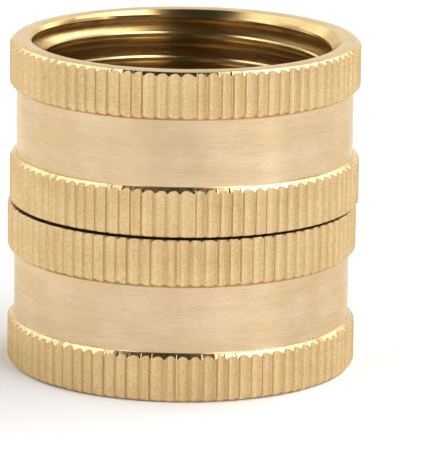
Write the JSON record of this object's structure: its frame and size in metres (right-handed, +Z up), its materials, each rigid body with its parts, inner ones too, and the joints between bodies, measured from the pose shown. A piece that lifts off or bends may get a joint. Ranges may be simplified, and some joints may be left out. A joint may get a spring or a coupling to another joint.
{
  "type": "hose union fitting",
  "caption": "Double female swivel hose union: two knurled brass nuts, threaded inside, turning on a flanged tube, a rubber washer in each.",
  "frame": {"origin": "centre of the lower nut's rim, on the surface the fitting stands on", "axes": "+Z up along the common axis of both nuts and the tube; X and Y are arbitrary, as the part is round"},
  "size_m": [0.0306, 0.0306, 0.0288],
  "materials": {
    "nut_brass": "satin, turned and knurled",
    "tube_brass": "satin, turned",
    "washer_rubber": "matt, moulded"
  },
  "bodies": {
    "lower_nut": {"lower_nut": "nut_brass"},
    "lower_washer": {"lower_washer": "washer_rubber"},
    "tube": {"swivel_tube": "tube_brass", "upper_washer": "washer_rubber"},
    "upper_nut": {"upper_nut": "nut_brass"}
  },
  "joints": [
    {"name": "tube_float", "type": "slide", "parent": "lower_nut", "child": "lower_washer", "axis": [0, 0, 1], "range_m": [0, 0.0005]},
    {"name": "lower_swivel", "type": "hinge", "parent": "lower_washer", "child": "tube", "pos_m": [0, 0, 0.0133], "axis": [0, 0, 1], "continuous": true},
    {"name": "upper_swivel", "type": "hinge", "parent": "tube", "child": "upper_nut", "pos_m": [0, 0, 0.0154], "axis": [0, 0, 1], "continuous": true}
  ]
}
